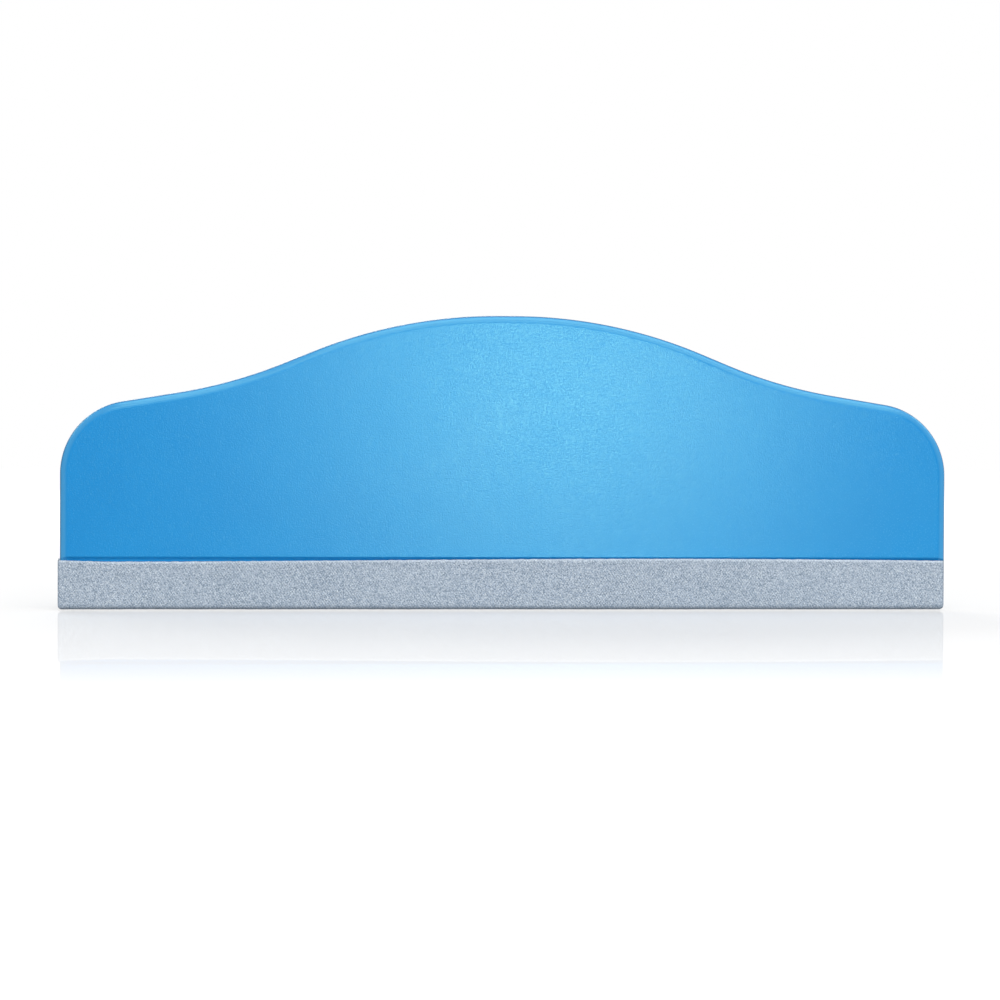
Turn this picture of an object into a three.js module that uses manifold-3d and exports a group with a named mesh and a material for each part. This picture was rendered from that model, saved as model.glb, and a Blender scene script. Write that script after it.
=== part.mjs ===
// Felt-edge squeegee applicator: a stiff moulded plastic blade with a felt strip folded over its
// working edge. The hand holds it by the crown in the middle of the long top edge.
//
// Millimetres. X runs along the working edge, Y through the thickness with the front face towards -Y,
// and Z up from the underside of the felt to the crown. The origin is the middle of that underside.

import * as THREE from "three";
import { mergeVertices } from "three/addons/utils/BufferGeometryUtils.js";
import Module from "manifold-3d";

// ---------------------------------------------------------------------------- driving dimensions

// Outline of the blade. The waist is the hollow curve between the crown and the shoulder. The waist
// and the shoulder are placed by the sharp corners that their arcs round off.
const OVERALL_HEIGHT = 99.1;
const BLADE_LENGTH = 299.8;
const CROWN_FLAT = 5.6;
const CROWN_RADIUS = 166;
const WAIST_FROM_MIDDLE = 92.6;
const WAIST_BELOW_CROWN = 23.4;
const WAIST_RADIUS = 165;
const SHOULDER_BELOW_WAIST = 9.4;
const SHOULDER_RADIUS = 24.6;

// Section of the blade. Both faces slope in, above the felt, to a thinner tongue, which the felt covers.
const BLADE_THICKNESS = 3.2;
const RIM_FLAT = 0.4; // left between the roundings of the front and back edges
const RIM_ROUNDING_REACH = 2.5; // how far the rounding, a quarter of an ellipse, runs in from the outline
const TONGUE_THICKNESS = 1.6;
const STEP_SLOPE_HEIGHT = 0.9;
const TONGUE_NOSE_RADIUS = 0.6;

// Felt strip.
const FELT_THICKNESS = 1.0;
const FELT_HEIGHT = 16.5; // from the fold's underside to the cut edges
const FELT_FOLD_INSIDE_RADIUS = 0.4;
const FELT_PAST_LEFT_END = 0.6;
const FELT_SHORT_OF_RIGHT_END = 0.4;

// Double-sided tape between the felt and the tongue.
const TAPE_THICKNESS = 0.15;
const TAPE_BELOW_FELT_EDGE = 0.5;
const TAPE_ABOVE_NOSE = 1.2;
const TAPE_END_MARGIN = 0.5;

// Clearances.
const FELT_TO_STEP_GAP = 0.25;
const NOSE_TO_FOLD_GAP = 0.3;

// Fineness of the curves: steps in an arc, and in the rounding of the rim.
const OUTLINE_ARC_STEPS = 12;
const SMALL_ARC_STEPS = 4;
const RIM_STEPS = 5;

// How far a cutting shape runs past what it cuts.
const CUT_MARGIN = 2;

// ------------------------------------------------------------ places that follow from those sizes

const feltLength = BLADE_LENGTH + FELT_PAST_LEFT_END - FELT_SHORT_OF_RIGHT_END;
const feltLeft = -feltLength / 2;
const feltRight = feltLength / 2;
const bladeLeft = feltLeft + FELT_PAST_LEFT_END;
const bladeRight = bladeLeft + BLADE_LENGTH;

const noseHeight = FELT_THICKNESS + NOSE_TO_FOLD_GAP;
const stepFoot = FELT_HEIGHT + FELT_TO_STEP_GAP;

// -------------------------------------------------------------------------------------- materials

const bluePlastic = new THREE.MeshStandardMaterial({ color: 0x2e8fd4, roughness: 0.45, metalness: 0 });
const greyFelt = new THREE.MeshStandardMaterial({ color: 0x9aabb8, roughness: 0.95, metalness: 0 });
const clearAdhesive = new THREE.MeshStandardMaterial({ color: 0xe6e2d6, roughness: 0.5, metalness: 0 });

// ---------------------------------------------------------------------------------- shape helpers

// A shape drawn in x and y, and pulled along z, is laid into the object's axes by one of these.
const acrossFace = new THREE.Matrix4().makeBasis(
  new THREE.Vector3(1, 0, 0),
  new THREE.Vector3(0, 0, 1),
  new THREE.Vector3(0, -1, 0),
);
const alongEdge = new THREE.Matrix4().makeBasis(
  new THREE.Vector3(0, 1, 0),
  new THREE.Vector3(0, 0, 1),
  new THREE.Vector3(1, 0, 0),
);

// Takes the path on towards a corner, and round it on an arc in the direction of the next point.
function roundCorner(path, corner, next, radius) {
  const back = path.currentPoint.clone().sub(corner).normalize();
  const ahead = next.clone().sub(corner).normalize();
  const halfAngle = back.angleTo(ahead) / 2;
  const reach = radius / Math.tan(halfAngle);
  const centre = back.clone().add(ahead).setLength(radius / Math.sin(halfAngle)).add(corner);
  const fromAngle = back.clone().multiplyScalar(reach).add(corner).sub(centre).angle();
  const toAngle = ahead.clone().multiplyScalar(reach).add(corner).sub(centre).angle();
  path.absarc(centre.x, centre.y, radius, fromAngle, toAngle, back.cross(ahead) > 0);
}

// A bar of constant profile, from x = 0 to x = length.
function barAlongEdge(profile, length) {
  const bar = new THREE.ExtrudeGeometry(profile, {
    depth: length,
    bevelEnabled: false,
    curveSegments: SMALL_ARC_STEPS,
  });
  return bar.applyMatrix4(alongEdge);
}

const wasm = await Module();
wasm.setup();

function toSolid(geometry) {
  const bare = geometry.clone();
  bare.deleteAttribute("normal");
  bare.deleteAttribute("uv");
  const merged = mergeVertices(bare);
  const mesh = new wasm.Mesh({
    numProp: 3,
    vertProperties: merged.attributes.position.array,
    triVerts: Uint32Array.from(merged.index.array),
  });
  return new wasm.Manifold(mesh);
}

function toGeometry(solid) {
  const mesh = solid.getMesh();
  const geometry = new THREE.BufferGeometry();
  geometry.setAttribute("position", new THREE.BufferAttribute(mesh.vertProperties, 3));
  geometry.setIndex(new THREE.BufferAttribute(mesh.triVerts, 1));
  geometry.computeVertexNormals();
  return geometry;
}

function namedMesh(name, geometry, material) {
  const mesh = new THREE.Mesh(geometry, material);
  mesh.name = name;
  return mesh;
}

// ------------------------------------------------------------------------------------------ blade

// The right half of the outline, from the end of the crown's flat to below the working edge.
function halfOutlinePoints() {
  const crownCentre = new THREE.Vector2(CROWN_FLAT / 2, OVERALL_HEIGHT - CROWN_RADIUS);
  const waist = new THREE.Vector2(WAIST_FROM_MIDDLE, OVERALL_HEIGHT - WAIST_BELOW_CROWN);
  const shoulder = new THREE.Vector2(BLADE_LENGTH / 2, waist.y - SHOULDER_BELOW_WAIST);
  const foot = new THREE.Vector2(BLADE_LENGTH / 2, -CUT_MARGIN);

  // The flank is the straight line from the waist's corner that just touches the crown's arc.
  const toWaist = waist.clone().sub(crownCentre);
  const crownTurn = Math.atan2(toWaist.x, toWaist.y) - Math.acos(CROWN_RADIUS / toWaist.length());
  const top = Math.PI / 2;

  const outline = new THREE.Path();
  outline.absarc(crownCentre.x, crownCentre.y, CROWN_RADIUS, top, top - crownTurn, true);
  roundCorner(outline, waist, shoulder, WAIST_RADIUS);
  roundCorner(outline, shoulder, foot, SHOULDER_RADIUS);
  outline.lineTo(foot.x, foot.y);
  return outline.getPoints(OUTLINE_ARC_STEPS);
}

// The blade as a plate of even thickness with a rounded rim, centred on x = 0.
function roundedPlate() {
  const right = halfOutlinePoints();
  const left = right.map((point) => new THREE.Vector2(-point.x, point.y)).reverse();
  const plate = new THREE.ExtrudeGeometry(new THREE.Shape([...right, ...left]), {
    depth: RIM_FLAT,
    bevelThickness: (BLADE_THICKNESS - RIM_FLAT) / 2,
    bevelSize: RIM_ROUNDING_REACH,
    bevelOffset: -RIM_ROUNDING_REACH,
    bevelSegments: RIM_STEPS,
  });
  plate.translate(0, 0, -RIM_FLAT / 2);
  return plate.applyMatrix4(acrossFace);
}

// The profile that trims the plate to its slope, tongue and nose. Above the slope it is wider than
// the plate, so it cuts nothing there.
function trimmingProfile() {
  const tongue = TONGUE_THICKNESS / 2;
  const wide = BLADE_THICKNESS / 2 + CUT_MARGIN;
  const stepDepth = (BLADE_THICKNESS - TONGUE_THICKNESS) / 2;
  const slopeTop = stepFoot + (wide - tongue) * (STEP_SLOPE_HEIGHT / stepDepth);
  const noseBack = new THREE.Vector2(tongue, noseHeight);
  const noseFront = new THREE.Vector2(-tongue, noseHeight);
  const footFront = new THREE.Vector2(-tongue, stepFoot);

  const profile = new THREE.Shape();
  profile.moveTo(-wide, OVERALL_HEIGHT + CUT_MARGIN);
  profile.lineTo(wide, OVERALL_HEIGHT + CUT_MARGIN);
  profile.lineTo(wide, slopeTop);
  profile.lineTo(tongue, stepFoot);
  roundCorner(profile, noseBack, noseFront, TONGUE_NOSE_RADIUS);
  roundCorner(profile, noseFront, footFront, TONGUE_NOSE_RADIUS);
  profile.lineTo(footFront.x, footFront.y);
  profile.lineTo(-wide, slopeTop);
  return profile;
}

function makeBlade() {
  const trimLength = BLADE_LENGTH + 2 * CUT_MARGIN;
  const trim = barAlongEdge(trimmingProfile(), trimLength).translate(-trimLength / 2, 0, 0);
  const solid = toSolid(roundedPlate()).intersect(toSolid(trim));
  const blade = namedMesh("blade", toGeometry(solid), bluePlastic);
  blade.position.x = (bladeLeft + bladeRight) / 2;
  return blade;
}

// ------------------------------------------------------------------------------------- felt strip

// The strip's section: a deep U, open at the top, whose flat bottom is the working edge.
function feltProfile() {
  const inside = TONGUE_THICKNESS / 2 + TAPE_THICKNESS;
  const outside = inside + FELT_THICKNESS;
  const outsideRadius = FELT_FOLD_INSIDE_RADIUS + FELT_THICKNESS;
  const outerFront = new THREE.Vector2(-outside, 0);
  const outerBack = new THREE.Vector2(outside, 0);
  const edgeBack = new THREE.Vector2(outside, FELT_HEIGHT);
  const innerBack = new THREE.Vector2(inside, FELT_THICKNESS);
  const innerFront = new THREE.Vector2(-inside, FELT_THICKNESS);
  const edgeFront = new THREE.Vector2(-inside, FELT_HEIGHT);

  const profile = new THREE.Shape();
  profile.moveTo(edgeFront.x, edgeFront.y);
  profile.lineTo(-outside, FELT_HEIGHT);
  roundCorner(profile, outerFront, outerBack, outsideRadius);
  roundCorner(profile, outerBack, edgeBack, outsideRadius);
  profile.lineTo(edgeBack.x, edgeBack.y);
  profile.lineTo(inside, FELT_HEIGHT);
  roundCorner(profile, innerBack, innerFront, FELT_FOLD_INSIDE_RADIUS);
  roundCorner(profile, innerFront, edgeFront, FELT_FOLD_INSIDE_RADIUS);
  return profile;
}

function makeFeltEdge() {
  const felt = namedMesh("felt_edge", barAlongEdge(feltProfile(), feltLength), greyFelt);
  felt.position.x = feltLeft;
  return felt;
}

// ------------------------------------------------------------------------------------------- tape

// side is -1 for the tongue's front face and +1 for its back face.
function makeTape(name, side) {
  const left = Math.max(feltLeft, bladeLeft) + TAPE_END_MARGIN;
  const right = Math.min(feltRight, bladeRight) - TAPE_END_MARGIN;
  const bottom = noseHeight + TAPE_ABOVE_NOSE;
  const top = FELT_HEIGHT - TAPE_BELOW_FELT_EDGE;
  const strip = new THREE.BoxGeometry(right - left, TAPE_THICKNESS, top - bottom);
  const tape = namedMesh(name, strip, clearAdhesive);
  const fromMiddle = (TONGUE_THICKNESS + TAPE_THICKNESS) / 2;
  tape.position.set((left + right) / 2, side * fromMiddle, (bottom + top) / 2);
  return tape;
}

// --------------------------------------------------------------------------------------- assembly

const squeegee = new THREE.Group();
squeegee.add(makeBlade());
squeegee.add(makeFeltEdge());
squeegee.add(makeTape("adhesive_tape_front", -1));
squeegee.add(makeTape("adhesive_tape_back", 1));

export default squeegee;
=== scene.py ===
import math

import bmesh
import bpy
import numpy as np
from mathutils import Matrix, Vector, noise


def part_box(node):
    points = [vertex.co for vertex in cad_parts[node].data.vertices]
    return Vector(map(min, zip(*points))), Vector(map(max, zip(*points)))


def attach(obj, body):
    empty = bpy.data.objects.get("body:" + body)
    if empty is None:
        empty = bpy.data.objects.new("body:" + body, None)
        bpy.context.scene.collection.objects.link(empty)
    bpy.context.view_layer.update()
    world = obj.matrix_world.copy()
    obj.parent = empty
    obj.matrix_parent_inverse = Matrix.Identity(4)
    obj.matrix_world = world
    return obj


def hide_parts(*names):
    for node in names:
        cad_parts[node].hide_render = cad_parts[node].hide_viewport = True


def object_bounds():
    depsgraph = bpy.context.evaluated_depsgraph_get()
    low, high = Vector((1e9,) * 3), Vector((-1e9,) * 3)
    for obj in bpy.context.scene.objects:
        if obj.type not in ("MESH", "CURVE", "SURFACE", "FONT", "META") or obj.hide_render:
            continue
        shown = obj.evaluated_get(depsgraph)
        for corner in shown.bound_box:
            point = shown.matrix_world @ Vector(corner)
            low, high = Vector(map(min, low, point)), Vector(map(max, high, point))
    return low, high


# The looks of a felt-edge squeegee applicator, in metres and in the CAD model's frame: X runs along
# the working edge, the front face looks towards -Y, and Z goes up from the underside of the felt.
# A "walk" below is a path of straight and round moves, each (length, curvature), where a positive
# curvature turns clockwise. Its right-hand side is the inside of the blade or the outside of the felt.

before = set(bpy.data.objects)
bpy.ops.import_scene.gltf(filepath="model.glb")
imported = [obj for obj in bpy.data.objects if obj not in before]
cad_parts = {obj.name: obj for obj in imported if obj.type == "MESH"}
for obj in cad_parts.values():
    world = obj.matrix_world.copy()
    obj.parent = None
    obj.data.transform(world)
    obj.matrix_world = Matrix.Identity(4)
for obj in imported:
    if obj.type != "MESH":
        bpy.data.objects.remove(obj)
cad_low, cad_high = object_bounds()

MM = 0.001
RIGHT_ANGLE = math.pi / 2

# Outline of the blade, as in the CAD model.
CROWN_FLAT = 5.6 * MM
CROWN_RADIUS = 166 * MM
WAIST_FROM_MIDDLE = 92.6 * MM
WAIST_BELOW_CROWN = 23.4 * MM
WAIST_RADIUS = 165 * MM
SHOULDER_BELOW_WAIST = 9.4 * MM
SHOULDER_RADIUS = 24.6 * MM

# Section of the blade.
RIM_FLAT = 0.4 * MM
RIM_ROUNDING_REACH = 2.5 * MM
TONGUE_THICKNESS = 1.6 * MM
TONGUE_NOSE_RADIUS = 0.6 * MM
STEP_FOOT = 16.75 * MM
STEP_SLOPE_HEIGHT = 0.9 * MM
STEP_FOOT_FILLET = 0.3 * MM
STEP_EDGE_FILLET = 0.3 * MM
PARTING_RIDGE = 0.04 * MM
PARTING_RIDGE_WIDTH = 0.2 * MM
# How far in from the outline the rim's painted shade, its dark outermost line, and its painted highlight,
# a paler blue, fade out.
RIM_SHADE_WIDTH = 0.55 * MM
RIM_HIGHLIGHT_WIDTH = 2.4 * MM

# Felt strip.
FELT_THICKNESS = 1.0 * MM
FELT_OUTSIDE_RADIUS = 1.4 * MM
FELT_CORNER_WIDTH = 0.5 * MM
FELT_CORNER_HEIGHT = 1.4 * MM

blade_low, blade_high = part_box("blade")
felt_low, felt_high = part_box("felt_edge")


# ------------------------------------------------------------------------------------------- paths

def walk(start, heading, moves, distance):
    """Where a walk has got to after a distance, and the direction on its right there."""
    across, up = start
    for length, curvature in moves:
        step = min(distance, length)
        turn = step * curvature
        chord = step * np.sinc(turn / (2 * math.pi))
        across += chord * math.cos(heading + turn / 2)
        up -= chord * math.sin(heading + turn / 2)
        heading += turn
        distance -= step
    return (across, up), (-math.sin(heading), -math.cos(heading))


def stops(moves, counts):
    """Distances along a walk that divide each move into its count of steps."""
    ends = np.cumsum([0] + [length for length, _ in moves])
    parts = [np.linspace(a, b, n, endpoint=False) for a, b, n in zip(ends, ends[1:], counts)]
    return np.append(np.concatenate(parts), ends[-1])


def follow(start, heading, moves, distances):
    """Points and right-hand directions at each of the distances, as two arrays."""
    reached = [walk(start, heading, moves, d) for d in distances]
    points, rights = zip(*reached)
    return np.array(points), np.array(rights)


def arc(radius, turn):
    """A move round an arc. A negative turn goes counter-clockwise."""
    return (radius * abs(turn), math.copysign(1 / radius, turn))


# ------------------------------------------------------------------------------------ mesh helpers

def grid_faces(index, closed=False):
    """Four-sided faces between neighbouring rows and columns of a 2-D array of vertex numbers."""
    if closed:
        index = np.vstack([index, index[:1]])
    corners = [index[:-1, :-1], index[1:, :-1], index[1:, 1:], index[:-1, 1:]]
    return np.stack(corners, axis=-1).reshape(-1, 4)


def make_piece(name, vertices, faces, attributes=()):
    """A smooth-shaded object. Faces may repeat a vertex, which leaves a triangle."""
    tidy = [tuple(dict.fromkeys(int(v) for v in face)) for face in faces]
    mesh = bpy.data.meshes.new(name)
    mesh.from_pydata([tuple(v) for v in vertices], [], [f for f in tidy if len(f) > 2])
    for label, values in attributes:
        layer = mesh.attributes.new(label, "FLOAT", "POINT")
        layer.data.foreach_set("value", np.asarray(values, dtype=np.float32))
    shape = bmesh.new()
    shape.from_mesh(mesh)
    bmesh.ops.recalc_face_normals(shape, faces=shape.faces)
    shape.to_mesh(mesh)
    shape.free()
    mesh.shade_smooth()
    piece = bpy.data.objects.new(name, mesh)
    bpy.context.scene.collection.objects.link(piece)
    return piece


# ------------------------------------------------------------------------------------------- blade

BLADE_COLUMNS = 300
SIDE_ROWS = 46
TONGUE_ROWS = 6
SLOPE_ROWS = 2
RIM_STEPS = 12
FILLET_STEPS = 5
# Heights nearer than this, in metres, count as the same.
SAME_HEIGHT = 1e-7

half_length = (blade_high.x - blade_low.x) / 2
half_thickness = blade_high.y
nose = blade_low.z


def outline_walk():
    """The right half of the outline, from the middle of the crown down to the nose."""
    to_waist_across = WAIST_FROM_MIDDLE - CROWN_FLAT / 2
    to_waist_up = CROWN_RADIUS - WAIST_BELOW_CROWN
    to_waist = math.hypot(to_waist_across, to_waist_up)
    past_waist = half_length - WAIST_FROM_MIDDLE
    shoulder_slope = math.atan2(SHOULDER_BELOW_WAIST, past_waist)
    crown_turn = math.atan2(to_waist_across, to_waist_up) - math.acos(CROWN_RADIUS / to_waist)
    waist_turn = crown_turn - shoulder_slope
    shoulder_turn = RIGHT_ANGLE - shoulder_slope
    waist_reach = WAIST_RADIUS * math.tan(waist_turn / 2)
    shoulder_reach = SHOULDER_RADIUS * math.tan(shoulder_turn / 2)
    shoulder_height = blade_high.z - WAIST_BELOW_CROWN - SHOULDER_BELOW_WAIST
    flank = math.sqrt(to_waist**2 - CROWN_RADIUS**2) - waist_reach
    ledge = math.hypot(past_waist, SHOULDER_BELOW_WAIST) - waist_reach - shoulder_reach
    return [
        (CROWN_FLAT / 2, 0),
        arc(CROWN_RADIUS, crown_turn),
        (flank, 0),
        arc(WAIST_RADIUS, -waist_turn),
        (ledge, 0),
        arc(SHOULDER_RADIUS, shoulder_turn),
        (shoulder_height - shoulder_reach - nose, 0),
    ]


def section_walk():
    """Half the blade's section from its nose to just above the step: across is half a thickness."""
    depth = half_thickness - TONGUE_THICKNESS / 2
    turn = math.atan2(depth, STEP_SLOPE_HEIGHT)
    foot_reach = STEP_FOOT_FILLET * math.tan(turn / 2)
    edge_reach = STEP_EDGE_FILLET * math.tan(turn / 2)
    return [
        arc(TONGUE_NOSE_RADIUS, -RIGHT_ANGLE),
        (STEP_FOOT - nose - TONGUE_NOSE_RADIUS - foot_reach, 0),
        arc(STEP_FOOT_FILLET, turn),
        (math.hypot(depth, STEP_SLOPE_HEIGHT) - foot_reach - edge_reach, 0),
        arc(STEP_EDGE_FILLET, -turn),
    ]


def rim_profile():
    """(depth inside the outline, half thickness) from the parting line round to the face."""
    rounding_height = half_thickness - RIM_FLAT / 2
    ridge = PARTING_RIDGE_WIDTH / 2
    turns = np.linspace(0, RIGHT_ANGLE, RIM_STEPS + 1)
    depths = PARTING_RIDGE + (RIM_ROUNDING_REACH - PARTING_RIDGE) * (1 - np.cos(turns))
    heights = RIM_FLAT / 2 + rounding_height * np.sin(turns)
    ridge_points = [(0, 0), (0, ridge / 2), (PARTING_RIDGE, ridge)]
    return ridge_points + list(zip(depths, heights))


def patch(bottom, top, left, right):
    """A grid of points blended between four edges that share their corners, bottom row first."""
    u = np.linspace(0, 1, len(bottom))[None, :, None]
    v = np.linspace(0, 1, len(left))[:, None, None]
    between_rows = (1 - v) * bottom[None] + v * top[None]
    between_columns = (1 - u) * left[:, None] + u * right[:, None]
    low_corners = (1 - u) * bottom[0] + u * bottom[-1]
    high_corners = (1 - u) * top[0] + u * top[-1]
    return between_rows + between_columns - (1 - v) * low_corners - v * high_corners


def make_blade():
    middle_x = (blade_low.x + blade_high.x) / 2
    outline = outline_walk()
    lengths = [length for length, _ in outline]
    to_corner = sum(lengths[:5]) + lengths[5] / 2
    total = sum(lengths)

    # Rows at a fixed height, for the nose, the tongue and the step, and the half thickness of each.
    section = section_walk()
    counts = [FILLET_STEPS, TONGUE_ROWS, FILLET_STEPS, SLOPE_ROWS, FILLET_STEPS]
    row_stops = stops(section, counts)
    start = (TONGUE_THICKNESS / 2 - TONGUE_NOSE_RADIUS, nose)
    rows, _ = follow(start, 0, section, row_stops)
    low_rows = len(rows) - 1

    # The right half of the outline: over the top to the middle of the shoulder, then down the side.
    over_top = np.linspace(0, to_corner, BLADE_COLUMNS // 2 + 1)
    down_side = np.linspace(to_corner, total - (rows[-1][1] - nose), SIDE_ROWS + 1)
    down_rows = total - (rows[-2::-1, 1] - nose)
    distances = np.concatenate([over_top, down_side[1:], down_rows])
    points, inwards = follow((0, blade_high.z), 0, outline, distances)
    mirror = np.array([-1, 1])
    loop = np.vstack([(points * mirror)[:0:-1], points])
    inward = np.vstack([(inwards * mirror)[:0:-1], inwards])

    # Rings round the rim, and inside them one patch of grid that ends in the straight rows.
    side = SIDE_ROWS + low_rows
    rim = rim_profile()
    rings = [loop + depth * inward for depth, _ in rim]
    inner = rings[-1]
    left, top, right = inner[:side + 1], inner[side:-side], inner[:-side - 2:-1]
    column_share = top[:, 0] / top[-1, 0]
    straight = [np.stack([column_share * right[row, 0], np.full(len(column_share), rows[row][1])], axis=1)
                for row in range(low_rows + 1)]
    face = patch(straight[-1], top, left[low_rows:], right[low_rows:])
    grid = np.vstack([np.array(straight[:-1]), face])

    row_heights = np.concatenate([rows[:, 0], np.full(SIDE_ROWS, half_thickness)])
    loop_heights = np.concatenate([row_heights, np.full(BLADE_COLUMNS - 1, half_thickness),
                                   row_heights[::-1]])

    vertices = []
    grain_share = []
    shade_share = []
    rim_highlight_share = []

    def add(flat_points, heights, y_sign, depth):
        first = len(vertices)
        for (x, z), height in zip(flat_points, heights):
            vertices.append((middle_x + x, y_sign * height, z))
            grain_share.append(float(height > half_thickness - SAME_HEIGHT))
            # Painted shade along the outermost line, fading inwards from the outline.
            shade_share.append(max(1 - depth / RIM_SHADE_WIDTH, 0))
            # Painted highlight over the rim's rounding, fading inwards from the outline.
            rim_highlight_share.append(max(1 - depth / RIM_HIGHLIGHT_WIDTH, 0))
        return np.arange(first, len(vertices))

    faces = []
    parting_line = add(rings[0], np.zeros(len(loop)), 1, 0)
    bottoms = []
    for y_sign in (-1, 1):
        heights = np.repeat(row_heights, BLADE_COLUMNS + 1)
        index = add(grid.reshape(-1, 2), heights, y_sign, RIM_ROUNDING_REACH).reshape(grid.shape[:2])
        boundary = np.concatenate([index[:, 0], index[-1, 1:-1], index[::-1, -1]])
        ring_index = [parting_line]
        for (depth, rim_height), ring in list(zip(rim, rings))[1:-1]:
            ring_index.append(add(ring, np.minimum(rim_height, loop_heights), y_sign, depth))
        ring_index = np.array(ring_index + [boundary])
        faces += list(grid_faces(index)) + list(grid_faces(ring_index))
        bottoms.append(np.concatenate([ring_index[:, 0], index[0, 1:-1], ring_index[::-1, -1]]))
    faces += list(grid_faces(np.array(bottoms)))

    # The "rim" value carries painted shade along the outermost line; the other rim value carries a
    # painted highlight over the rounding.
    blade = make_piece("blade_moulding", vertices, faces, [
        ("grain", grain_share), ("rim", shade_share), ("rim_highlight", rim_highlight_share)])
    blade.modifiers.new("even_normals", "WEIGHTED_NORMAL")
    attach(blade, "root")
    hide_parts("blade")
    return blade


# -------------------------------------------------------------------------------------- felt strip

FELT_COLUMNS = 560
WALL_ROWS = 32
FOLD_ROWS = 5
UNDERSIDE_ROWS = 2
CUT_EDGE_ROWS = 3
NAP_DEPTH = 0.05 * MM
NAP_SIZE = 1.3 * MM
WAVE_DEPTH = 0.05 * MM
WAVE_SIZE = 22 * MM
EDGE_SOFTNESS = 0.3 * MM
CUT_WOBBLE = 0.12 * MM
CUT_WOBBLE_SIZE = 2.2 * MM
END_WOBBLE = 0.06 * MM
END_WOBBLE_SIZE = 1.8 * MM
END_WOBBLE_POWER = 200
FELT_OFF_SLOPE = 0.05 * MM
# The slow wave of the cut edges, on the front (-1) and the back (1).
EDGE_WAVE_MIDDLE = {-1: -44 * MM, 1: 30 * MM}
EDGE_WAVE_HEIGHT = {-1: 0.6 * MM, 1: 0.35 * MM}
EDGE_WAVE_LENGTH = 404 * MM
EDGE_WAVE_RISE = 0.1 * MM
LEFT_END_LIFT = 0.45 * MM
LEFT_END_LIFT_LENGTH = 16 * MM
# Where the felt has a painted highlight, along its cut edges, and painted shade, at its ends and along
# the fold.
EDGE_HIGHLIGHT_WIDTH = 0.7 * MM
SHADED_END_WIDTH = 0.5 * MM
SHADED_FOLD_HEIGHT = 3 * MM
SHADED_FOLD_POWER = 3
# Each kind of unevenness reads the noise at a place of its own.
NAP_SEED = 3
WAVE_SEED = 7
END_SEED = 11
CUT_SEED = 40


def bumps(x, y, z, size, seed):
    """Smooth noise between about -1 and 1, with bumps of the size given."""
    return noise.noise(Vector((x / size + seed, y / size, z / size)))


def felt_top(x, side):
    """Height of the strip's cut edge at x. It was cut and laid by hand, so it runs in a slow wave."""
    middle, height = EDGE_WAVE_MIDDLE[side], EDGE_WAVE_HEIGHT[side]
    slow = height * math.sin(2 * math.pi * (x - middle) / EDGE_WAVE_LENGTH)
    past_left = max(felt_low.x + LEFT_END_LIFT_LENGTH - x, 0) / LEFT_END_LIFT_LENGTH
    rough = CUT_WOBBLE * bumps(x, 0, 0, CUT_WOBBLE_SIZE, CUT_SEED + side)
    return felt_high.z + EDGE_WAVE_RISE + slow + LEFT_END_LIFT * past_left + rough


def blade_depth(z):
    """The nearest that the felt comes to the middle plane beside the blade's slope. It is 0 below."""
    up_slope = (z - STEP_FOOT) / STEP_SLOPE_HEIGHT
    if up_slope < 0:
        return 0
    return TONGUE_THICKNESS / 2 + up_slope * (half_thickness - TONGUE_THICKNESS / 2) + FELT_OFF_SLOPE


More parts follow.
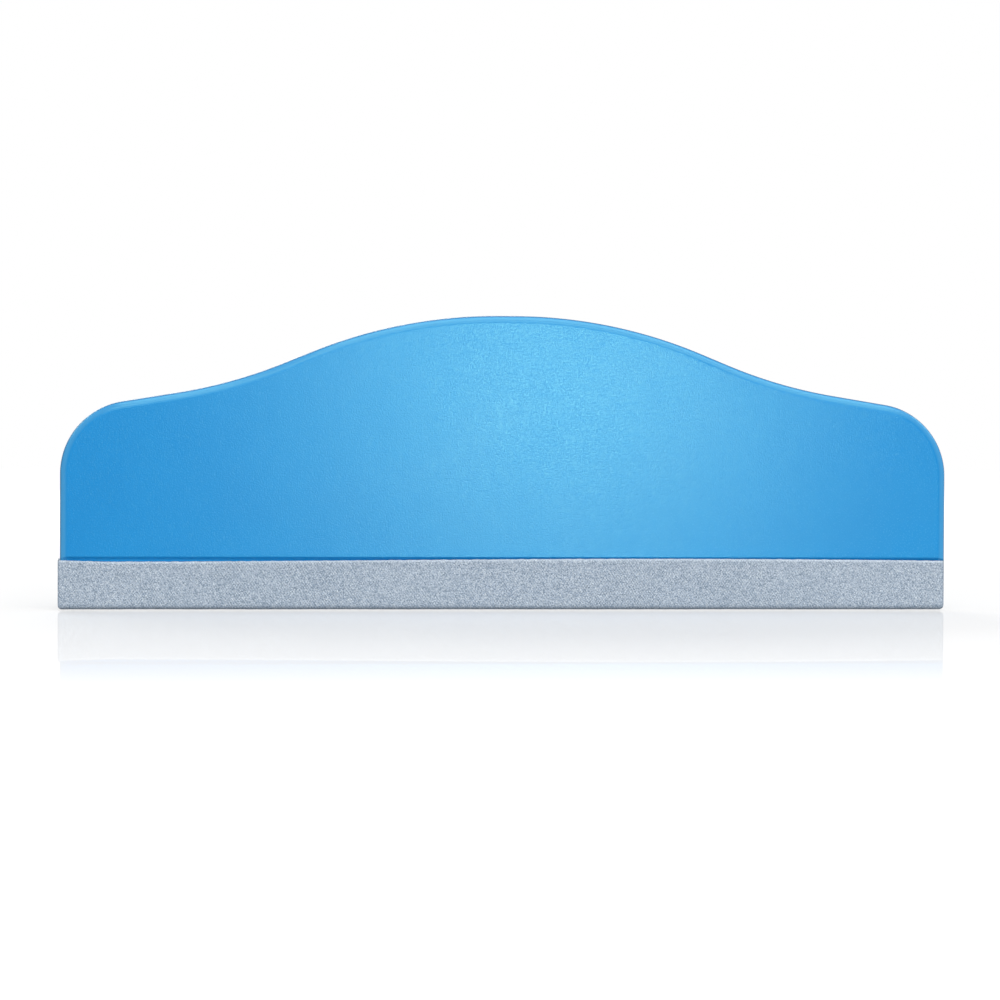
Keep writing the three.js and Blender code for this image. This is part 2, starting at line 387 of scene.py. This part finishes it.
def make_felt():
    half_width = felt_high.y
    wall = felt_high.z - FELT_OUTSIDE_RADIUS
    underside = 2 * (half_width - FELT_OUTSIDE_RADIUS)
    fold = arc(FELT_OUTSIDE_RADIUS, -RIGHT_ANGLE)
    section = [(wall, 0), fold, (underside, 0), fold, (wall, 0)]
    counts = [WALL_ROWS, FOLD_ROWS, UNDERSIDE_ROWS, FOLD_ROWS, WALL_ROWS]
    distances = stops(section, counts)
    points, outward = follow((-half_width, felt_high.z), RIGHT_ANGLE, section, distances)
    inner_points = points - FELT_THICKNESS * outward

    # Round the section: down the front and up the back outside, over the back cut edge, back along the
    # inside, and over the front cut edge. The ring holds points, and push the way that the nap lifts
    # each of them: outwards on the outside, upwards on the cut edges, and not at all on the inside.
    share = np.linspace(0, 1, CUT_EDGE_ROWS + 2)[1:-1, None]
    upward = np.array([0.0, 1.0])
    back_edge = points[-1] + share * (inner_points[-1] - points[-1])
    front_edge = inner_points[0] + share * (points[0] - inner_points[0])
    ring = np.vstack([points, back_edge, inner_points[::-1], front_edge])
    push = np.vstack([outward, np.tile(upward, (CUT_EDGE_ROWS, 1)), 0 * outward,
                      np.tile(upward, (CUT_EDGE_ROWS, 1))])
    stations = np.linspace(-1, 1, FELT_COLUMNS + 1)
    half_felt = (felt_high.x - felt_low.x) / 2
    middle = (felt_high.x + felt_low.x) / 2

    vertices = []
    edge_highlight = []
    painted_shade = []
    for station in stations:
        for (across, up), (push_y, push_z) in zip(ring, push):
            corner_drop = max(1 - up / FELT_CORNER_HEIGHT, 0)
            corner_cut = FELT_CORNER_WIDTH * (1 - math.sqrt(1 - corner_drop**2))
            x = middle + station * (half_felt - corner_cut)
            rise = min(max(up - FELT_OUTSIDE_RADIUS, 0) / wall, 1)
            z = up + rise * (felt_top(x, 1 if across > 0 else -1) - felt_high.z)
            to_end = (1 - abs(station)) * half_felt
            to_top = max(felt_high.z - up, 0)
            soft = sum(EDGE_SOFTNESS * (1 - gap / EDGE_SOFTNESS)**2
                       for gap in (to_end, to_top) if gap < EDGE_SOFTNESS)
            lift = NAP_DEPTH * bumps(x, across, z, NAP_SIZE, NAP_SEED)
            lift += WAVE_DEPTH * bumps(x, across, z, WAVE_SIZE, WAVE_SEED) - soft
            wobble = END_WOBBLE * bumps(x, across, z, END_WOBBLE_SIZE, END_SEED)
            x += wobble * abs(station)**END_WOBBLE_POWER
            y = across + push_y * lift
            z += push_z * lift
            y = math.copysign(max(abs(y), blade_depth(z)), y)
            vertices.append((x, y, z))
            # Painted highlight along the cut edges.
            edge_highlight.append(max(1 - to_top / EDGE_HIGHLIGHT_WIDTH, 0))
            # Painted shade at the ends and along the fold.
            at_end = max(1 - to_end / SHADED_END_WIDTH, 0)
            at_fold = max(1 - up / SHADED_FOLD_HEIGHT, 0)**SHADED_FOLD_POWER
            painted_shade.append(max(at_end, at_fold))

    index = np.arange(len(vertices)).reshape(len(stations), len(ring))
    faces = list(grid_faces(index.T, closed=True))
    outer = len(points)
    for end in (index[0], index[-1]):
        outside = end[:outer]
        inside = end[outer + CUT_EDGE_ROWS:2 * outer + CUT_EDGE_ROWS][::-1]
        faces += list(grid_faces(np.array([outside, inside])))
        faces.append(np.concatenate([[outside[-1]], end[outer:outer + CUT_EDGE_ROWS], [inside[-1]]]))
        faces.append(np.concatenate([[inside[0]], end[2 * outer + CUT_EDGE_ROWS:], [outside[0]]]))

    felt = make_piece("felt_strip", vertices, faces, [("edge_highlight", edge_highlight), ("painted_shade", painted_shade)])
    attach(felt, "root")
    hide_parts("felt_edge")
    return felt


# --------------------------------------------------------------------------------------- materials

def new_tree(owner):
    owner.use_nodes = True
    owner.node_tree.nodes.clear()
    return owner.node_tree


def add_node(tree, kind, inputs=(), **settings):
    """Adds a node, sets what it is told to, and links or sets its inputs by name or number."""
    node = tree.nodes.new(kind)
    for key, value in settings.items():
        setattr(node, key, value)
    for key, value in dict(inputs).items():
        if isinstance(value, bpy.types.NodeSocket):
            tree.links.new(value, node.inputs[key])
        else:
            node.inputs[key].default_value = value
    return node


def srgb(red, green, blue):
    """A colour given as it looks on screen, 0 to 255, in the linear values that shaders use."""
    def linear(value):
        value /= 255
        return value / 12.92 if value <= 0.04045 else ((value + 0.055) / 1.055)**2.4
    return (linear(red), linear(green), linear(blue), 1)


WHITE = (1, 1, 1, 1)


def noise_at(tree, place, size, detail=2.0, rough=0.5, distortion=0.0):
    """Noise whose features are about the size given, in metres."""
    settings = {"Vector": place, "Scale": 1 / size, "Detail": detail,
                "Roughness": rough, "Distortion": distortion}
    return add_node(tree, "ShaderNodeTexNoise", settings).outputs["Fac"]


def spread(tree, value, low, high, to_low=0.0, to_high=1.0):
    """Maps a value from one range to another, held at the ends."""
    settings = {"Value": value, "From Min": low, "From Max": high, "To Min": to_low, "To Max": to_high}
    return add_node(tree, "ShaderNodeMapRange", settings).outputs["Result"]


def combine(tree, operation, a, b):
    return add_node(tree, "ShaderNodeMath", {0: a, 1: b}, operation=operation).outputs["Value"]


def blend_colours(tree, share, a, b, how="MIX"):
    """A mix node's inputs 6 and 7 and its output 2 are those for colours."""
    node = add_node(tree, "ShaderNodeMix", {0: share, 6: a, 7: b}, data_type="RGBA", blend_type=how)
    return node.outputs[2]


def object_place(tree):
    return add_node(tree, "ShaderNodeTexCoord").outputs["Object"]


def mesh_value(tree, name):
    """A value from 0 to 1 that the mesh carries at each point."""
    return add_node(tree, "ShaderNodeAttribute", attribute_name=name).outputs["Fac"]


def bumped(tree, height, distance, strength=1.0):
    settings = {"Strength": strength, "Distance": distance, "Height": height}
    return add_node(tree, "ShaderNodeBump", settings).outputs["Normal"]


def finish_material(tree, settings):
    shader = add_node(tree, "ShaderNodeBsdfPrincipled", settings)
    add_node(tree, "ShaderNodeOutputMaterial", {"Surface": shader.outputs["BSDF"]})


# Noise stays mostly between these two values, so this range is spread over a colour or a roughness.
NOISE_LOW = 0.3
NOISE_HIGH = 0.7

PLASTIC_BLUES = srgb(7, 132, 206), srgb(9, 136, 209)
# A paler blue painted over the rim's rounding as a highlight.
PAINTED_HIGHLIGHT_RIM_BLUE = srgb(60, 147, 207)
# A darker blue painted along the rim's outermost line as shade.
PAINTED_SHADE_RIM_BLUE = srgb(0, 72, 128)
RIM_HIGHLIGHT_REACHES_FULL = 0.4
PLASTIC_IOR = 1.54
PLASTIC_GLINT_TINT = (0.45, 1.0, 0.8, 1)
PLASTIC_ROUGHNESS = 0.15, 0.17
GRAIN_ROUGHNESS = 0.14
RIM_ROUGHNESS = 0.3
FLOW_SIZE = 45 * MM
GRAIN_SIZE = 0.52 * MM
FINE_GRAIN_SIZE = 0.3 * MM
FINE_GRAIN_SHARE = 0.4
GRAIN_DEPTH = 0.035 * MM


def blue_plastic():
    """Satin moulded plastic: an even blue with a fine grain on the faces. The smooth rim carries a
    painted highlight in a paler blue, and its outermost line carries painted shade in a darker blue and
    is duller."""
    material = bpy.data.materials.new("blue_plastic")
    tree = new_tree(material)
    place = object_place(tree)
    on_face = mesh_value(tree, "grain")
    rim_highlight = mesh_value(tree, "rim_highlight")
    rim = mesh_value(tree, "rim")

    grain = noise_at(tree, place, GRAIN_SIZE, detail=1.0)
    fine_grain = noise_at(tree, place, FINE_GRAIN_SIZE, detail=0.0)
    flow = noise_at(tree, place, FLOW_SIZE, detail=3.0, distortion=0.6)

    colour = blend_colours(tree, spread(tree, flow, NOISE_LOW, NOISE_HIGH), *PLASTIC_BLUES)
    # Painted highlight: a paler blue over the rim's rounding.
    colour = blend_colours(tree, spread(tree, rim_highlight, 0, RIM_HIGHLIGHT_REACHES_FULL), colour, PAINTED_HIGHLIGHT_RIM_BLUE)
    # Painted shade: a darker blue along the rim's outermost line.
    colour = blend_colours(tree, rim, colour, PAINTED_SHADE_RIM_BLUE)

    speckle = spread(tree, grain, NOISE_LOW, NOISE_HIGH, 0, GRAIN_ROUGHNESS)
    speckle = combine(tree, "MULTIPLY", speckle, on_face)
    roughness = spread(tree, flow, NOISE_LOW, NOISE_HIGH, *PLASTIC_ROUGHNESS)
    roughness = combine(tree, "ADD", roughness, speckle)
    roughness = combine(tree, "ADD", roughness, combine(tree, "MULTIPLY", rim, RIM_ROUGHNESS))

    height = combine(tree, "ADD", grain, combine(tree, "MULTIPLY", fine_grain, FINE_GRAIN_SHARE))
    height = combine(tree, "MULTIPLY", height, on_face)
    finish_material(tree, {
        "Base Color": colour, "Roughness": roughness, "IOR": PLASTIC_IOR,
        "Specular Tint": PLASTIC_GLINT_TINT, "Normal": bumped(tree, height, GRAIN_DEPTH)})
    return material


FELT_GREYS = srgb(171, 185, 201), srgb(177, 190, 205)
LIGHT_FLECK = srgb(204, 215, 225)
DARK_FLECK = srgb(136, 152, 170)
# A lighter grey painted along the cut edges as a highlight.
PAINTED_HIGHLIGHT_FELT = srgb(222, 234, 244)
# A darker grey painted at the ends and along the fold as shade.
PAINTED_SHADE_FELT = srgb(104, 124, 146)
EDGE_HIGHLIGHT_SHARE = 0.8
PAINTED_SHADE_SHARE = 0.7
LIGHT_FLECK_NOISE = 0.52, 0.72
DARK_FLECK_NOISE = 0.48, 0.28
FIBRE_SIZE = 0.36 * MM
FLECK_SIZE = 0.42 * MM
PATCH_SIZE = 14 * MM
FELT_BUMP_DEPTH = 0.25 * MM
# The lie of the nap: fine lines along two slants, seen in some places and not in others.
LINE_SLANTS = 35, -35
LINE_SPACING = 0.76 * MM
LINE_SHADES = 0.85, 1.1
# The two waves together run from 0 to 2, and these are their dark and light ends.
LINE_WAVE_ENDS = 0.3, 1.7
LINE_BUMP_SHARE = 0.25
LINE_PATCH_SIZE = 25 * MM
LINE_PATCH_NOISE = 0.4, 0.6
FELT_ROUGHNESS = 0.95
FELT_SHEEN = 0.25
FELT_SHEEN_ROUGHNESS = 0.5
FELT_GLINT = 0.2
# A wave texture at scale 1 has this many lines in a length of 2 pi.
WAVES_AT_SCALE_1 = 20


def grey_felt():
    """Short-nap felt: matted fibres with light and dark flecks, and a faint diagonal lie of the nap."""
    material = bpy.data.materials.new("grey_felt")
    tree = new_tree(material)
    place = object_place(tree)
    fibres = noise_at(tree, place, FIBRE_SIZE, detail=1.0, rough=0.5, distortion=0.4)
    flecks = noise_at(tree, place, FLECK_SIZE, detail=0.5, distortion=0.2)
    patches = noise_at(tree, place, PATCH_SIZE, detail=2.0)

    lie = 0
    for slant in LINE_SLANTS:
        turned = add_node(tree, "ShaderNodeMapping", {
            "Vector": place, "Rotation": (0, math.radians(slant), 0)}).outputs["Vector"]
        wave = add_node(tree, "ShaderNodeTexWave", {
            "Vector": turned, "Scale": 2 * math.pi / WAVES_AT_SCALE_1 / LINE_SPACING,
            "Distortion": 1.2, "Detail": 1.0, "Detail Scale": 2.0}).outputs["Fac"]
        lie = combine(tree, "ADD", lie, wave)

    colour = blend_colours(tree, spread(tree, patches, NOISE_LOW, NOISE_HIGH), *FELT_GREYS)
    colour = blend_colours(tree, spread(tree, flecks, *LIGHT_FLECK_NOISE), colour, LIGHT_FLECK)
    colour = blend_colours(tree, spread(tree, flecks, *DARK_FLECK_NOISE), colour, DARK_FLECK)
    # Painted highlight along the cut edges, where they catch the light.
    edge_highlight = combine(tree, "MULTIPLY", mesh_value(tree, "edge_highlight"), EDGE_HIGHLIGHT_SHARE)
    colour = blend_colours(tree, edge_highlight, colour, PAINTED_HIGHLIGHT_FELT)
    # Painted shade at the ends and along the fold.
    painted_shade = combine(tree, "MULTIPLY", mesh_value(tree, "painted_shade"), PAINTED_SHADE_SHARE)
    colour = blend_colours(tree, painted_shade, colour, PAINTED_SHADE_FELT)
    lines = spread(tree, lie, *LINE_WAVE_ENDS, *LINE_SHADES)
    line_patches = noise_at(tree, place, LINE_PATCH_SIZE, detail=1.0)
    shade = blend_colours(tree, spread(tree, line_patches, *LINE_PATCH_NOISE), WHITE, lines)
    colour = blend_colours(tree, 1.0, colour, shade, "MULTIPLY")

    height = combine(tree, "ADD", fibres, combine(tree, "MULTIPLY", lie, LINE_BUMP_SHARE))
    finish_material(tree, {
        "Base Color": colour, "Roughness": FELT_ROUGHNESS, "Sheen Weight": FELT_SHEEN,
        "Sheen Roughness": FELT_SHEEN_ROUGHNESS, "Specular IOR Level": FELT_GLINT,
        "Normal": bumped(tree, height, FELT_BUMP_DEPTH)})
    return material


TAPE_WHITES = srgb(226, 221, 208), srgb(240, 237, 228)
TAPE_ROUGHNESS = 0.35, 0.6
CLOUD_SIZE = 4 * MM
BUBBLE_SIZE = 0.8 * MM
BUBBLE_DEPTH = 0.02 * MM
BUBBLE_BUMP = 0.6
BUBBLE_NOISE = 0.35, 0.65


def milky_tape():
    """Thin double-sided tape, slightly cloudy, with small trapped bubbles."""
    material = bpy.data.materials.new("milky_tape")
    tree = new_tree(material)
    place = object_place(tree)
    cloud = noise_at(tree, place, CLOUD_SIZE, detail=3.0)
    bubbles = noise_at(tree, place, BUBBLE_SIZE, detail=1.0)
    colour = blend_colours(tree, spread(tree, cloud, NOISE_LOW, NOISE_HIGH), *TAPE_WHITES)
    finish_material(tree, {
        "Base Color": colour, "Roughness": spread(tree, bubbles, *BUBBLE_NOISE, *TAPE_ROUGHNESS),
        "Normal": bumped(tree, bubbles, BUBBLE_DEPTH, strength=BUBBLE_BUMP)})
    return material


def wear(piece, material):
    piece.data.materials.clear()
    piece.data.materials.append(material)


# ------------------------------------------------------------------------------------------- stage

# The light from all round, as a share of the white that is seen there.
AMBIENT = 0.17
# The felt's underside is this far above the floor, which leaves a thin bright line between them.
FLOOR_GAP = 0.38 * MM
FLOOR_SIZE = 8.0
FLOOR_GREY = 0.4
FLOOR_IOR = 1.45
MIRROR_ROUGHNESS = 0.01
MIRROR_SHARE = 0.34
MIRROR_FADE = 315 * MM
MIRROR_FADE_POWER = 5
# The floor's own glow, from near the object to far off, where it turns into the white background.
GLOW_NEAR = 0.485
GLOW_FAR = 0.95
GLOW_RISES_FROM = 0.15
GLOW_RISES_TO = 1.5


def seen_directly(tree):
    """1 for rays that look at a surface from the camera, in a mirror or through glass."""
    path = add_node(tree, "ShaderNodeLightPath").outputs
    seen = combine(tree, "MAXIMUM", path["Is Camera Ray"], path["Is Glossy Ray"])
    return combine(tree, "MAXIMUM", seen, path["Is Transmission Ray"])


def white_surroundings():
    """White to look at, directly or mirrored, and a weak light from all round."""
    world = bpy.data.worlds.new("white_surroundings")
    tree = new_tree(world)
    strength = spread(tree, seen_directly(tree), 0, 1, AMBIENT, 1.0)
    light = add_node(tree, "ShaderNodeBackground", {"Color": WHITE, "Strength": strength})
    add_node(tree, "ShaderNodeOutputWorld", {"Surface": light.outputs["Background"]})
    bpy.context.scene.world = world


def white_gloss_floor():
    """White acrylic: it mirrors what stands on it, less and less with the distance from the object."""
    material = bpy.data.materials.new("white_gloss_floor")
    tree = new_tree(material)
    place = object_place(tree)
    along_y = add_node(tree, "ShaderNodeSeparateXYZ", {"Vector": place}).outputs["Y"]
    away = combine(tree, "ABSOLUTE", along_y, 0)
    faded = combine(tree, "POWER", spread(tree, away, 0, MIRROR_FADE), MIRROR_FADE_POWER)
    kept = combine(tree, "SUBTRACT", 1, faded)
    fresnel = add_node(tree, "ShaderNodeFresnel", {"IOR": FLOOR_IOR}).outputs["Fac"]
    mirror_share = combine(tree, "MULTIPLY", combine(tree, "MULTIPLY", kept, fresnel), MIRROR_SHARE)

    diffuse = add_node(tree, "ShaderNodeBsdfDiffuse", {"Color": (FLOOR_GREY, FLOOR_GREY, FLOOR_GREY, 1)})
    apart = add_node(tree, "ShaderNodeVectorMath", {0: place}, operation="LENGTH").outputs["Value"]
    glow_here = spread(tree, apart, GLOW_RISES_FROM, GLOW_RISES_TO, GLOW_NEAR, GLOW_FAR)
    glow_strength = combine(tree, "MULTIPLY", seen_directly(tree), glow_here)
    glow = add_node(tree, "ShaderNodeEmission", {"Strength": glow_strength})
    base = add_node(tree, "ShaderNodeAddShader", {
        0: diffuse.outputs["BSDF"], 1: glow.outputs["Emission"]})
    mirror = add_node(tree, "ShaderNodeBsdfGlossy", {"Color": WHITE, "Roughness": MIRROR_ROUGHNESS})
    mixed = add_node(tree, "ShaderNodeMixShader", {
        0: mirror_share, 1: base.outputs["Shader"], 2: mirror.outputs["BSDF"]})
    add_node(tree, "ShaderNodeOutputMaterial", {"Surface": mixed.outputs["Shader"]})
    return material


def make_floor():
    mesh = bpy.data.meshes.new("floor")
    half = FLOOR_SIZE / 2
    height = felt_low.z - FLOOR_GAP
    corners = [(-half, -half, height), (half, -half, height), (half, half, height), (-half, half, height)]
    mesh.from_pydata(corners, [], [(0, 1, 2, 3)])
    floor = bpy.data.objects.new("floor", mesh)
    bpy.context.scene.collection.objects.link(floor)
    wear(floor, white_gloss_floor())


# Each lamp has a name, a place, a target, a width, a height and a power in watts.
MIDDLE = (0, 0, cad_high.z / 2)
LAMPS = [
    # Close to the camera's axis: its blurred reflection is the pale patch right of the middle.
    ("key", (0.155, -1.5, 0.113), (0.025, 0, 0.08), 0.28, 0.24, 3.7),
    # These two fill the height above it, so the rounding of the top rim shows as a paler band.
    ("front_middle", (0.1, -1.3, 0.6), MIDDLE, 1.0, 0.45, 4.6),
    ("front_top", (0.15, -0.7, 1.15), MIDDLE, 1.2, 1.0, 12.5),
    ("back_fill", (-0.5, 1.6, 1.0), MIDDLE, 1.4, 0.6, 22.0),
    ("left_fill", (-1.0, 0, 0.8), MIDDLE, 0.6, 0.6, 3.5),
    ("right_fill", (1.0, 0, 0.8), MIDDLE, 0.6, 0.6, 3.5),
]


def softbox(name, place, target, width, height, power):
    """A large soft lamp that faces its target."""
    lamp = bpy.data.lights.new(name, "AREA")
    lamp.shape = "RECTANGLE"
    lamp.size = width
    lamp.size_y = height
    lamp.energy = power
    box = bpy.data.objects.new(name, lamp)
    box.location = place
    box.rotation_euler = (Vector(target) - Vector(place)).to_track_quat("-Z", "Y").to_euler()
    bpy.context.scene.collection.objects.link(box)


CAMERA_PLACE = (-73.9 * MM, -1000 * MM, 58.65 * MM)
CAMERA_YAW = -0.07197
CAMERA_PITCH = 0.02164
CAMERA_ROLL = -0.00418
CAMERA_LENS = 106.77
CAMERA_SENSOR = 36


def make_camera():
    """The photograph's camera: a long lens a metre in front, a little left of the middle and above
    half the object's height, turned slightly right and down."""
    ahead = Vector((-math.sin(CAMERA_YAW) * math.cos(CAMERA_PITCH),
                    math.cos(CAMERA_YAW) * math.cos(CAMERA_PITCH), -math.sin(CAMERA_PITCH)))
    level = Vector((math.cos(CAMERA_YAW), math.sin(CAMERA_YAW), 0))
    above = level.cross(ahead)
    right = math.cos(CAMERA_ROLL) * level - math.sin(CAMERA_ROLL) * above
    up = math.sin(CAMERA_ROLL) * level + math.cos(CAMERA_ROLL) * above
    lens = bpy.data.cameras.new("camera")
    lens.sensor_width = CAMERA_SENSOR
    lens.lens = CAMERA_LENS
    camera = bpy.data.objects.new("camera", lens)
    rotation = Matrix((right, up, -ahead)).transposed().to_4x4()
    camera.matrix_world = Matrix.Translation(CAMERA_PLACE) @ rotation
    bpy.context.scene.collection.objects.link(camera)
    bpy.context.scene.camera = camera


# ---------------------------------------------------------------------------------------- assembly

wear(make_blade(), blue_plastic())
wear(make_felt(), grey_felt())
tape_material = milky_tape()
for tape in ("adhesive_tape_front", "adhesive_tape_back"):
    wear(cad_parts[tape], tape_material)

white_surroundings()
make_floor()
for lamp in LAMPS:
    softbox(*lamp)
make_camera()
bpy.context.scene.view_settings.view_transform = "Standard"
